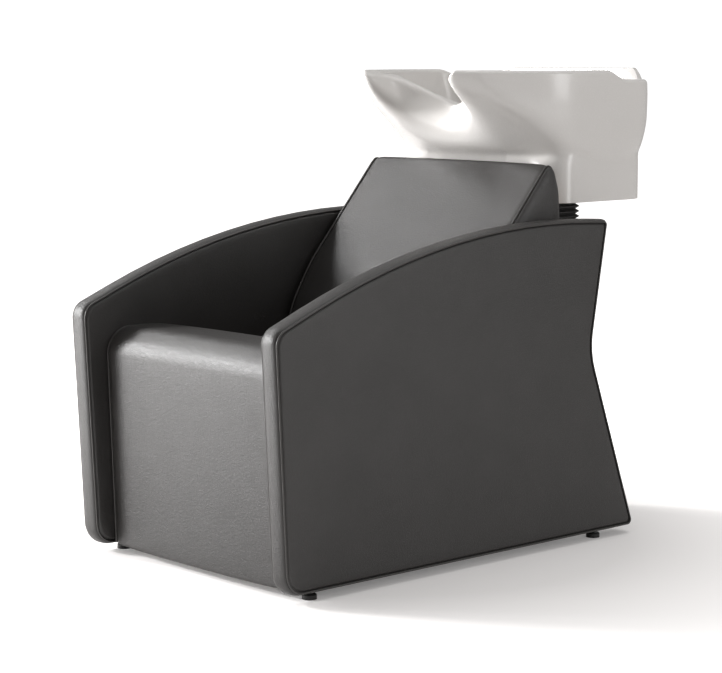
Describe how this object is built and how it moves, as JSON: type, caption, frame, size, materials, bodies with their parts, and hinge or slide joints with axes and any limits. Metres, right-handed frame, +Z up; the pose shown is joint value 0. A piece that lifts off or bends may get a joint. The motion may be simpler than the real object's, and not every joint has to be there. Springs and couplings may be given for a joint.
{
  "type": "hair washing bed",
  "caption": "Upholstered salon backwash seat with two arm panels, a reclined back and a tilting ceramic basin with a neck recess on a rear service column.",
  "frame": {"origin": "on the floor under the middle of the whole object", "axes": "+Z up, +Y from the seat's front to the basin at the rear, +X to the sitter's left"},
  "size_m": [0.6302, 1.1169, 0.964],
  "materials": {
    "upholstery": "dark warm grey artificial leather, fine grain, satin",
    "piping": "dark warm grey artificial leather cord",
    "boards": "plywood, unfinished",
    "frame_steel": "black powder coat",
    "column_paint": "dark grey powder coat, satin",
    "bright_steel": "zinc plated or stainless",
    "black_plastic": "moulded, matt",
    "rubber": "moulded black rubber, satin",
    "glaze": "glazed, warm light grey"
  },
  "bodies": {
    "base": {"apron_board": "boards", "arm_bolts": "bright_steel", "arm_piping": "piping", "back_board": "boards", "back_core": "boards", "back_cushion": "upholstery", "back_piping": "piping", "back_stays": "frame_steel", "bellows": "rubber", "bottle_cap": "black_plastic", "bottle_trap": "black_plastic", "column_base_plate": "column_paint", "column_shell": "column_paint", "column_top_plate": "column_paint", "cross_tubes": "frame_steel", "door_catch": "black_plastic", "door_hinge_pins": "bright_steel", "foot_inserts": "bright_steel", "friction_discs": "black_plastic", "left_arm_core": "boards", "left_arm_edge_band": "upholstery", "left_arm_inner_panel": "upholstery", "left_arm_outer_panel": "upholstery", "left_back_cheek": "upholstery", "left_side_rail": "frame_steel", "lower_hose_clip": "bright_steel", "pivot_bolts": "bright_steel", "pivot_nuts": "bright_steel", "rear_board": "boards", "rear_panel_pad": "upholstery", "right_arm_core": "boards", "right_arm_edge_band": "upholstery", "right_arm_inner_panel": "upholstery", "right_arm_outer_panel": "upholstery", "right_back_cheek": "upholstery", "right_side_rail": "frame_steel", "seat_bearers": "frame_steel", "seat_cushion": "upholstery", "seat_deck": "boards", "seat_piping": "piping", "seat_posts": "frame_steel", "trap_bracket": "bright_steel", "waste_hose": "rubber"},
    "basin": {"basin": "glaze", "basin_bolts": "bright_steel", "basin_pad": "rubber", "tilt_plate": "bright_steel", "waste_flange": "bright_steel", "waste_nut": "black_plastic", "waste_washer": "rubber", "upper_hose_clip": "bright_steel"},
    "hair_trap": {"hair_trap": "bright_steel"},
    "door": {"service_door": "column_paint", "door_knob": "black_plastic"},
    "left_front_foot": {"left_front_foot": "black_plastic"},
    "left_rear_foot": {"left_rear_foot": "black_plastic"},
    "left_apron_foot": {"left_apron_foot": "black_plastic"},
    "right_front_foot": {"right_front_foot": "black_plastic"},
    "right_rear_foot": {"right_rear_foot": "black_plastic"},
    "right_apron_foot": {"right_apron_foot": "black_plastic"}
  },
  "joints": [
    {"name": "basin_tilt", "type": "hinge", "parent": "base", "child": "basin", "pos_m": [0, 0.40237, 0.664], "axis": [1, 0, 0], "range_deg": [-12, 2], "deforming": ["bellows", "waste_hose"]},
    {"name": "hair_trap_lift", "type": "slide", "parent": "basin", "child": "hair_trap", "axis": [0, 0, 1], "range_m": [0, 0.06]},
    {"name": "door_hinge", "type": "hinge", "parent": "base", "child": "door", "pos_m": [-0.1264, 0.49038, 0.3], "axis": [0, 0, 1], "range_deg": [0, 110]},
    {"name": "left_front_foot_screw", "type": "slide", "parent": "base", "child": "left_front_foot", "axis": [0, 0, -1], "range_m": [0, 0.008]},
    {"name": "left_rear_foot_screw", "type": "slide", "parent": "base", "child": "left_rear_foot", "axis": [0, 0, -1], "range_m": [0, 0.008]},
    {"name": "left_apron_foot_screw", "type": "slide", "parent": "base", "child": "left_apron_foot", "axis": [0, 0, -1], "range_m": [0, 0.008]},
    {"name": "right_front_foot_screw", "type": "slide", "parent": "base", "child": "right_front_foot", "axis": [0, 0, -1], "range_m": [0, 0.008]},
    {"name": "right_rear_foot_screw", "type": "slide", "parent": "base", "child": "right_rear_foot", "axis": [0, 0, -1], "range_m": [0, 0.008]},
    {"name": "right_apron_foot_screw", "type": "slide", "parent": "base", "child": "right_apron_foot", "axis": [0, 0, -1], "range_m": [0, 0.008]}
  ]
}
